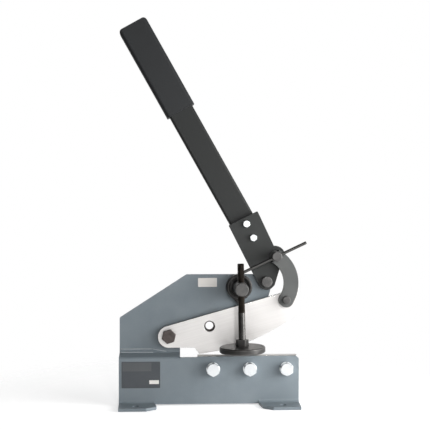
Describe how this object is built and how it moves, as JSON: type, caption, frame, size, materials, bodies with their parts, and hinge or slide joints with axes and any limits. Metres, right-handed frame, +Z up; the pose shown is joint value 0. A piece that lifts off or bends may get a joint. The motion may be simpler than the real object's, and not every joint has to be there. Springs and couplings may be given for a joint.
{
  "type": "bench lever shear",
  "caption": "Bench lever shear with a steel plate frame, a link-driven curved blade, a long handle and a screw hold-down for sheet.",
  "frame": {"origin": "centre of the four bench bolt holes, on the bench, under the shear plane", "axes": "+X along the blades towards the lever's end, +Y from the operator to the rear, +Z up"},
  "size_m": [0.3748, 0.161, 0.7791],
  "materials": {
    "frame_paint": "satin hammered blue-grey paint",
    "blade_steel": "ground",
    "zinc": "bright zinc plated",
    "black_steel": "black oxide",
    "lever_paint": "satin dark grey paint",
    "bar_steel": "dark drawn steel",
    "grip_rubber": "matt"
  },
  "bodies": {
    "frame": {"front_plate": "frame_paint", "rear_plate": "frame_paint", "jaw_spacer": "frame_paint", "lower_blade": "blade_steel", "blade_bolts": "zinc", "blade_bolt_washers": "zinc", "bar_die": "black_steel", "blade_pivot_bolt": "black_steel", "blade_pivot_washer": "black_steel", "blade_pivot_nut": "black_steel", "lever_pivot_pin": "black_steel", "lever_pivot_washer": "black_steel", "lever_pivot_nut": "black_steel", "hold_down_flange": "black_steel", "hold_down_collar": "black_steel", "hold_down_post": "black_steel", "hold_down_washer": "black_steel", "hold_down_nut": "black_steel"},
    "blade": {"upper_blade": "blade_steel", "link_pin_rear": "black_steel", "link_pin_clip": "zinc"},
    "lever": {"lever_plate": "lever_paint", "lever_tube": "lever_paint", "grip": "grip_rubber", "handle_bolts": "zinc", "handle_washers": "zinc", "handle_nuts": "zinc"},
    "link": {"link": "lever_paint", "link_pin_front": "black_steel"},
    "lock_screw": {"lock_screw": "black_steel"},
    "tommy_bar": {"tommy_bar": "bar_steel"},
    "pressure_foot": {"pressure_disc": "black_steel"},
    "hold_down_screw": {"hold_down_screw": "black_steel", "lock_nut": "black_steel"}
  },
  "joints": [
    {"name": "lever_pivot", "type": "hinge", "parent": "frame", "child": "lever", "pos_m": [0.117, 0, 0.245], "axis": [0, 1, 0], "range_deg": [0, 95]},
    {"name": "blade_pivot", "type": "hinge", "parent": "frame", "child": "blade", "pos_m": [-0.0807, 0, 0.1356], "axis": [0, 1, 0], "range_deg": [0, 18.02]},
    {"name": "link_pivot", "type": "hinge", "parent": "lever", "child": "link", "pos_m": [0.13459, 0, 0.29697], "axis": [0, 1, 0], "range_deg": [-81.32, 0]},
    {"name": "lock_screw_turn", "type": "hinge", "parent": "lever", "child": "lock_screw", "pos_m": [0.13459, 0, 0.29697], "axis": [0, 1, 0], "range_deg": [0, 360]},
    {"name": "tommy_bar_slide", "type": "slide", "parent": "lock_screw", "child": "tommy_bar", "axis": [0.9048, 0, 0.4258], "range_m": [-0.05, 0.06]},
    {"name": "pressure_foot_lift", "type": "slide", "parent": "frame", "child": "pressure_foot", "axis": [-0.0209, 0, 0.9998], "range_m": [-0.0105, 0.08]},
    {"name": "hold_down_screw_turn", "type": "hinge", "parent": "pressure_foot", "child": "hold_down_screw", "pos_m": [0.06399, -0.05, 0.11603], "axis": [-0.0209, 0, 0.9998], "range_deg": [-1900, 14420]}
  ],
  "couplings": [
    {"joint": "blade_pivot", "follows": "lever_pivot", "ratio": 0.18918},
    {"joint": "link_pivot", "follows": "lever_pivot", "ratio": -0.85497},
    {"joint": "hold_down_screw_turn", "follows": "pressure_foot_lift", "rad_per_m": 3141.6}
  ]
}
